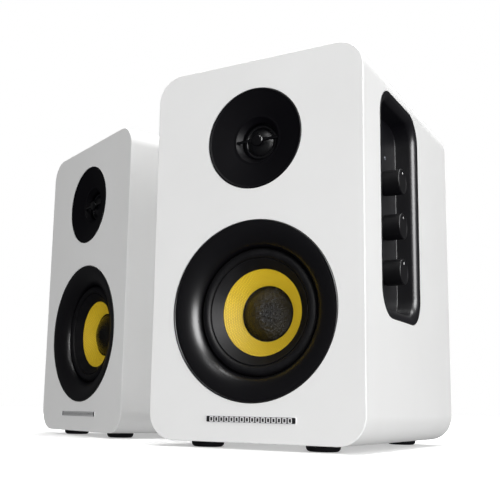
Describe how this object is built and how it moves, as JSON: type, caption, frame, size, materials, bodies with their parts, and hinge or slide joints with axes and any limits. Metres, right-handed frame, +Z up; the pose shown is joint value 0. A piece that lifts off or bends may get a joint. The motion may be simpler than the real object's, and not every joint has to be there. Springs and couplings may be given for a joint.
{
  "type": "powered desktop speaker pair",
  "caption": "Pair of white powered desktop speakers with flared woofer rings, woven yellow cones, small domes and side controls.",
  "frame": {"origin": "middle of the pair's box, on the desk", "axes": "+X towards the active speaker's control side, -Y out of its front, +Z up"},
  "size_m": [0.3668, 0.3092, 0.261],
  "materials": {
    "cabinet_white": "satin white wrap on MDF",
    "rear_black": "black painted MDF, fine grain",
    "port_black": "satin moulded",
    "foot_rubber": "soft matt",
    "badge_metal": "polished edge, black face",
    "driver_black": "satin moulded",
    "dome_fabric": "coated silk",
    "motor_steel": "zinc plated",
    "basket_black": "powder coat",
    "surround_rubber": "butyl rubber, satin",
    "cone_weave": "woven aramid fibre, resin coated",
    "cap_black": "coated cloth, fine mesh",
    "coil_metal": "former with enamelled winding",
    "spider_cloth": "resin-set cotton",
    "fitting_black": "glass-filled nylon",
    "screw_steel": "black oxide",
    "lever_red": "moulded",
    "lever_black": "moulded",
    "bezel_black": "satin moulded, rounded lip",
    "board_green": "solder mask",
    "led_lens": "clear lens",
    "plate_black": "fine-texture powder coat",
    "core_iron": "varnished laminations",
    "key_black": "moulded",
    "jack_nickel": "nickel plated",
    "knob_black": "satin moulded"
  },
  "bodies": {
    "active_speaker": {"active_cabinet_wrap": "cabinet_white", "active_front_baffle": "cabinet_white", "active_rear_panel": "rear_black", "active_port_tube": "port_black", "active_feet": "foot_rubber", "active_badge": "badge_metal", "active_tweeter_faceplate": "driver_black", "active_tweeter_bridge": "driver_black", "active_tweeter_surround": "dome_fabric", "active_tweeter_motor": "motor_steel", "active_woofer_trim_ring": "driver_black", "active_woofer_basket": "basket_black", "active_woofer_surround": "surround_rubber", "active_woofer_spider": "spider_cloth", "active_woofer_motor": "motor_steel", "active_terminal_block": "fitting_black", "active_screws": "screw_steel", "control_bezel": "bezel_black", "control_board": "board_green", "status_led": "led_lens", "amp_plate": "plate_black", "amp_board": "board_green", "transformer": "core_iron", "power_inlet": "fitting_black", "power_switch": "fitting_black", "input_jacks": "jack_nickel"},
    "passive_speaker": {"passive_cabinet_wrap": "cabinet_white", "passive_front_baffle": "cabinet_white", "passive_rear_panel": "rear_black", "passive_port_tube": "port_black", "passive_feet": "foot_rubber", "passive_badge": "badge_metal", "passive_tweeter_faceplate": "driver_black", "passive_tweeter_bridge": "driver_black", "passive_tweeter_surround": "dome_fabric", "passive_tweeter_motor": "motor_steel", "passive_woofer_trim_ring": "driver_black", "passive_woofer_basket": "basket_black", "passive_woofer_surround": "surround_rubber", "passive_woofer_spider": "spider_cloth", "passive_woofer_motor": "motor_steel", "passive_terminal_block": "fitting_black", "passive_screws": "screw_steel", "crossover_board": "board_green"},
    "active_woofer_diaphragm": {"active_woofer_cone": "cone_weave", "active_woofer_dust_cap": "cap_black", "active_woofer_voice_coil": "coil_metal"},
    "active_tweeter_diaphragm": {"active_tweeter_dome": "dome_fabric"},
    "active_lever_positive_body": {"active_lever_positive": "lever_red"},
    "active_lever_negative_body": {"active_lever_negative": "lever_black"},
    "passive_woofer_diaphragm": {"passive_woofer_cone": "cone_weave", "passive_woofer_dust_cap": "cap_black", "passive_woofer_voice_coil": "coil_metal"},
    "passive_tweeter_diaphragm": {"passive_tweeter_dome": "dome_fabric"},
    "passive_lever_positive_body": {"passive_lever_positive": "lever_red"},
    "passive_lever_negative_body": {"passive_lever_negative": "lever_black"},
    "volume_control": {"volume_knob": "knob_black"},
    "bass_control": {"bass_knob": "knob_black"},
    "treble_control": {"treble_knob": "knob_black"},
    "power_key": {"power_rocker": "key_black"}
  },
  "joints": [
    {"name": "passive_placing", "type": "slide", "parent": "active_speaker", "child": "passive_speaker", "axis": [-1, 0, 0], "range_m": [0, 0.3]},
    {"name": "active_woofer_travel", "type": "slide", "parent": "active_speaker", "child": "active_woofer_diaphragm", "axis": [0, 1, 0], "range_m": [-0.003, 0.003], "stiffness_N_per_m": 1160, "deforming": ["active_woofer_surround", "active_woofer_spider"]},
    {"name": "active_tweeter_travel", "type": "slide", "parent": "active_speaker", "child": "active_tweeter_diaphragm", "axis": [0, 1, 0], "range_m": [-0.0003, 0.0003], "stiffness_N_per_m": 2500, "deforming": ["active_tweeter_surround"]},
    {"name": "active_lever_positive_press", "type": "hinge", "parent": "active_speaker", "child": "active_lever_positive_body", "pos_m": [0.09737, 0.047, 0.0815], "axis": [-1, 0, 0], "range_deg": [0, 20], "stiffness_Nm_per_rad": 0.02, "springref_deg": -20.05},
    {"name": "active_lever_negative_press", "type": "hinge", "parent": "active_speaker", "child": "active_lever_negative_body", "pos_m": [0.07437, 0.047, 0.0815], "axis": [-1, 0, 0], "range_deg": [0, 20], "stiffness_Nm_per_rad": 0.02, "springref_deg": -20.05},
    {"name": "passive_woofer_travel", "type": "slide", "parent": "passive_speaker", "child": "passive_woofer_diaphragm", "axis": [0.4226, 0.9063, 0], "range_m": [-0.003, 0.003], "stiffness_N_per_m": 1160, "deforming": ["passive_woofer_surround", "passive_woofer_spider"]},
    {"name": "passive_tweeter_travel", "type": "slide", "parent": "passive_speaker", "child": "passive_tweeter_diaphragm", "axis": [0.4226, 0.9063, 0], "range_m": [-0.0003, 0.0003], "stiffness_N_per_m": 2500, "deforming": ["passive_tweeter_surround"]},
    {"name": "passive_lever_positive_press", "type": "hinge", "parent": "passive_speaker", "child": "passive_lever_positive_body", "pos_m": [-0.01861, 0.11699, 0.0735], "axis": [-0.9063, 0.4226, 0], "range_deg": [0, 20], "stiffness_Nm_per_rad": 0.02, "springref_deg": -20.05},
    {"name": "passive_lever_negative_press", "type": "hinge", "parent": "passive_speaker", "child": "passive_lever_negative_body", "pos_m": [-0.03945, 0.12671, 0.0735], "axis": [-0.9063, 0.4226, 0], "range_deg": [0, 20], "stiffness_Nm_per_rad": 0.02, "springref_deg": -20.05},
    {"name": "volume_turn", "type": "hinge", "parent": "active_speaker", "child": "volume_control", "pos_m": [0.18337, -0.072, 0.1866], "axis": [1, 0, 0], "range_deg": [-150, 150]},
    {"name": "bass_turn", "type": "hinge", "parent": "active_speaker", "child": "bass_control", "pos_m": [0.18337, -0.072, 0.1541], "axis": [1, 0, 0], "range_deg": [-150, 150]},
    {"name": "treble_turn", "type": "hinge", "parent": "active_speaker", "child": "treble_control", "pos_m": [0.18337, -0.072, 0.1216], "axis": [1, 0, 0], "range_deg": [-150, 150]},
    {"name": "power_tip", "type": "hinge", "parent": "active_speaker", "child": "power_key", "pos_m": [0.14387, 0.046, 0.08], "axis": [1, 0, 0], "range_deg": [-24, 0]}
  ]
}
